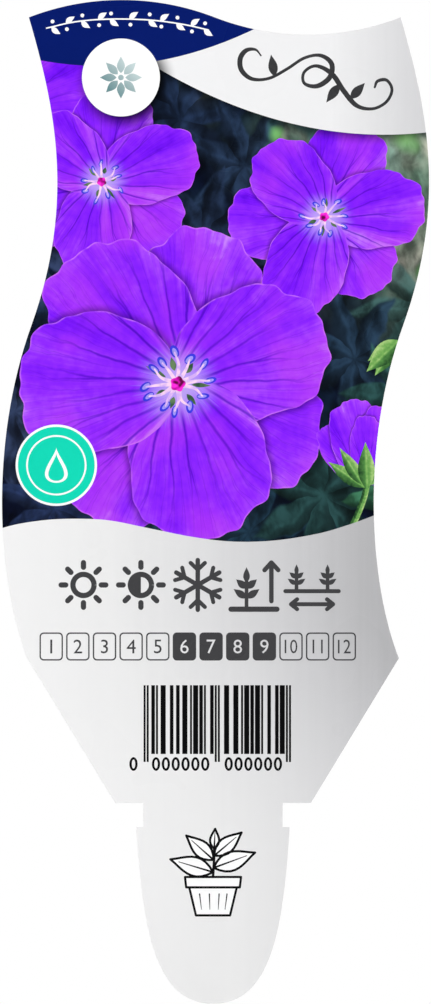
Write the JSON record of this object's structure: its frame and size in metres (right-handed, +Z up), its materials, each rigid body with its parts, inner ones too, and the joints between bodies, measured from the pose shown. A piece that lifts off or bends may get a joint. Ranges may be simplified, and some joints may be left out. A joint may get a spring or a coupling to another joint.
{
  "type": "plant label",
  "caption": "Upright flat plastic plant label with swaying sides and a waved top, printed on its face, with a notched neck and a barbed tongue that locks in a pot's rim.",
  "frame": {"origin": "middle of the neck, level with the undersides of the two shoulders and halfway through the sheet", "axes": "+Z up along the label's length, from the tongue to the waved top edge; -Y out of the printed face; +Y out of the plain back; +X to the right of someone who looks at the print"},
  "size_m": [0.0729, 0.0006, 0.1712],
  "materials": {
    "label_plastic": "stiff white plastic sheet, satin varnish over a full-colour print"
  },
  "bodies": {
    "root": {"label_sheet": "label_plastic"}
  },
  "joints": []
}
